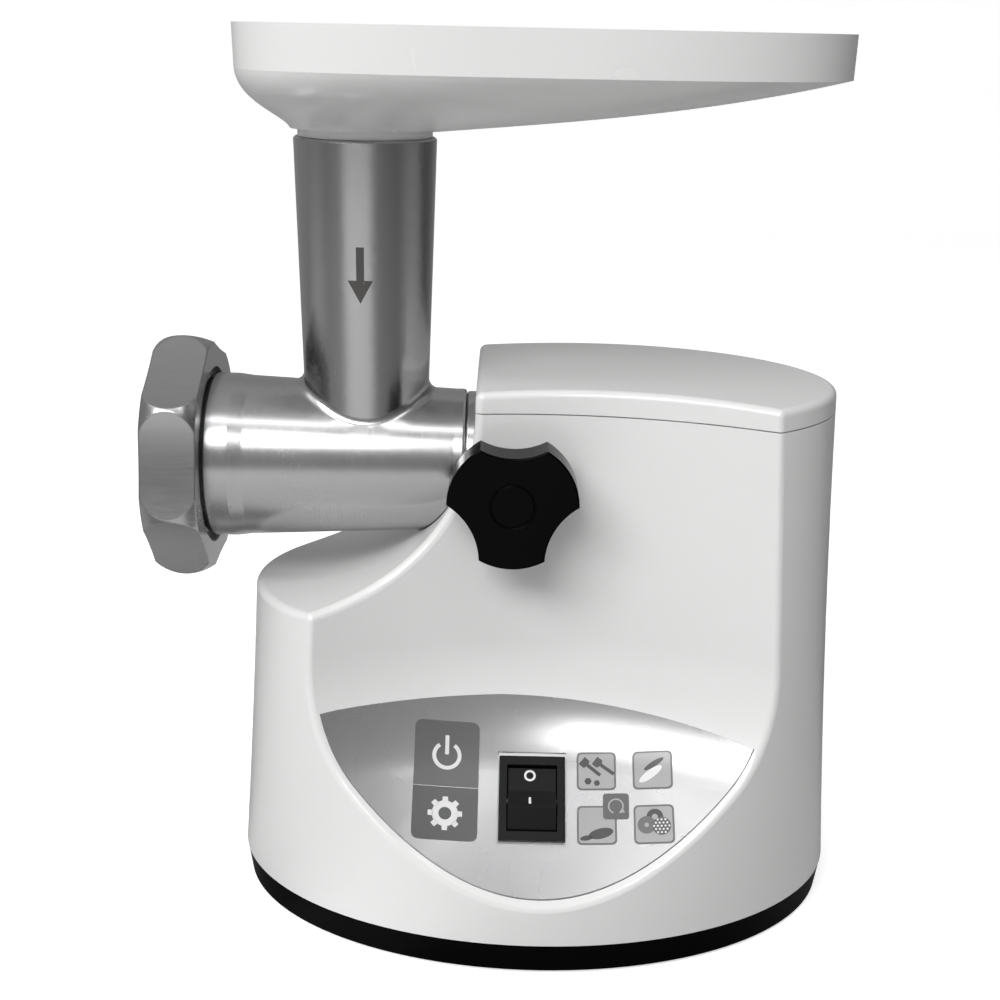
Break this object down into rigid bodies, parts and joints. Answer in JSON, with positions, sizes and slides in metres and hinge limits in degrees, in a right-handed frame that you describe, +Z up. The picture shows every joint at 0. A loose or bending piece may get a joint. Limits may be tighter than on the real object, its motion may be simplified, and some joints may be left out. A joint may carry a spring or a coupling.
{
  "type": "electric meat grinder",
  "caption": "Table meat grinder: white drum-shaped motor body with a gear train inside, cast barrel with ring nut and screen, clamp knob, rocker switch and a removable dish tray.",
  "frame": {"origin": "middle of the whole footprint, on the surface the rubber feet stand on", "axes": "+Z up along the feed tube, +X from the ring nut towards the motor end, +Y to the back, so the switch and the knob face -Y"},
  "size_m": [0.2891, 0.1849, 0.361],
  "materials": {
    "body_white": "gloss moulded white",
    "tray_white": "gloss moulded white",
    "black_plastic": "fine satin black",
    "knob_black": "gloss black",
    "silver_panel": "satin silver",
    "switch_grey": "satin dark grey",
    "cast_metal": "polished cast alloy",
    "nut_metal": "satin cast alloy",
    "steel": "ground steel",
    "zinc_screw": "zinc plated",
    "bronze": "sintered bronze",
    "brass": "machined brass",
    "grey_nylon": "moulded glass-filled nylon",
    "gear_nylon": "natural nylon",
    "gear_steel": "hardened steel",
    "lamination": "stacked laminations",
    "copper": "enamelled copper wire",
    "carbon": "pressed carbon",
    "galvanised": "galvanised sheet",
    "rubber_black": "matt black rubber",
    "board_green": "solder masked board",
    "capacitor_yellow": "moulded film capacitor"
  },
  "bodies": {
    "motor_unit": {"body_shell": "body_white", "top_cover": "body_white", "control_panel": "silver_panel", "base_plate": "black_plastic", "rubber_feet": "rubber_black", "base_screws": "zinc_screw", "cord_gland": "black_plastic", "switch_bezel": "switch_grey", "switch_body": "black_plastic", "switch_terminals": "brass", "clamp_insert": "brass", "outlet_collar": "cast_metal", "collar_screws": "zinc_screw", "output_bush": "bronze", "gearbox_housing": "grey_nylon", "gearbox_cover": "grey_nylon", "gearbox_screws": "zinc_screw", "shaft_bushes": "bronze", "motor_stator": "lamination", "field_coils": "copper", "motor_rear_bracket": "galvanised", "motor_front_bracket": "galvanised", "motor_bearings": "bronze", "motor_bolts": "zinc_screw", "brush_holders": "brass", "carbon_brushes": "carbon", "motor_cradle": "galvanised", "cradle_pads": "rubber_black", "circuit_board": "board_green", "board_rail": "grey_nylon", "suppression_capacitor": "capacitor_yellow"},
    "rocker": {"switch_rocker": "switch_grey", "rocker_axle": "steel"},
    "head": {"barrel_housing": "cast_metal", "scroll_bush": "bronze"},
    "scroll_set": {"scroll": "cast_metal", "cutting_knife": "steel"},
    "screen": {"cutter_screen": "steel"},
    "nut": {"ring_nut": "nut_metal"},
    "tray": {"feed_tray": "tray_white"},
    "washer": {"knob_washer": "steel"},
    "knob": {"clamp_knob": "knob_black", "clamp_screw": "steel"},
    "output": {"output_shaft": "gear_steel", "output_gear": "gear_steel"},
    "layshaft_2": {"second_layshaft": "gear_steel", "second_gear": "gear_nylon", "second_pinion": "gear_steel"},
    "layshaft_1": {"first_layshaft": "gear_steel", "first_gear": "gear_nylon", "first_pinion": "gear_steel"},
    "rotor": {"motor_shaft": "gear_steel", "motor_pinion": "gear_steel", "armature": "lamination", "armature_windings": "copper", "commutator": "copper", "cooling_fan": "black_plastic"}
  },
  "joints": [
    {"name": "rotor_spin", "type": "hinge", "parent": "motor_unit", "child": "rotor", "pos_m": [0, 0.012, 0.0988], "axis": [1, 0, 0], "continuous": true},
    {"name": "layshaft_1_spin", "type": "hinge", "parent": "motor_unit", "child": "layshaft_1", "pos_m": [0, 0.008, 0.12854], "axis": [1, 0, 0], "continuous": true},
    {"name": "layshaft_2_spin", "type": "hinge", "parent": "motor_unit", "child": "layshaft_2", "pos_m": [0, 0.004, 0.15827], "axis": [1, 0, 0], "continuous": true},
    {"name": "output_spin", "type": "hinge", "parent": "motor_unit", "child": "output", "pos_m": [0, 0, 0.188], "axis": [1, 0, 0], "continuous": true},
    {"name": "head_slide", "type": "slide", "parent": "motor_unit", "child": "head", "axis": [-1, 0, 0], "range_m": [0, 0.045]},
    {"name": "scroll_spin", "type": "hinge", "parent": "head", "child": "scroll_set", "pos_m": [0, 0, 0.188], "axis": [1, 0, 0], "continuous": true},
    {"name": "screen_slide", "type": "slide", "parent": "head", "child": "screen", "axis": [-1, 0, 0], "range_m": [0, 0.006]},
    {"name": "nut_turn", "type": "hinge", "parent": "screen", "child": "nut", "pos_m": [-0.13175, 0, 0.188], "axis": [-1, 0, 0], "range_deg": [0, 720]},
    {"name": "tray_lift", "type": "slide", "parent": "head", "child": "tray", "axis": [0, 0, 1], "range_m": [0, 0.06]},
    {"name": "washer_slide", "type": "slide", "parent": "motor_unit", "child": "washer", "axis": [0, -1, 0], "range_m": [0, 0.003]},
    {"name": "knob_turn", "type": "hinge", "parent": "washer", "child": "knob", "pos_m": [0.00175, -0.05, 0.1852], "axis": [0, -1, 0], "range_deg": [0, 720]},
    {"name": "rocker_tip", "type": "hinge", "parent": "motor_unit", "child": "rocker", "pos_m": [0.01225, -0.05705, 0.05902], "axis": [1, 0, 0], "range_deg": [0, 16]}
  ],
  "couplings": [
    {"joint": "layshaft_1_spin", "follows": "rotor_spin", "ratio": -0.25},
    {"joint": "layshaft_2_spin", "follows": "rotor_spin", "ratio": 0.065789},
    {"joint": "output_spin", "follows": "rotor_spin", "ratio": -0.02193},
    {"joint": "scroll_spin", "follows": "rotor_spin", "ratio": -0.02193},
    {"joint": "screen_slide", "follows": "nut_turn", "m_per_rad": 0.00047746},
    {"joint": "washer_slide", "follows": "knob_turn", "m_per_rad": 0.00023873}
  ]
}
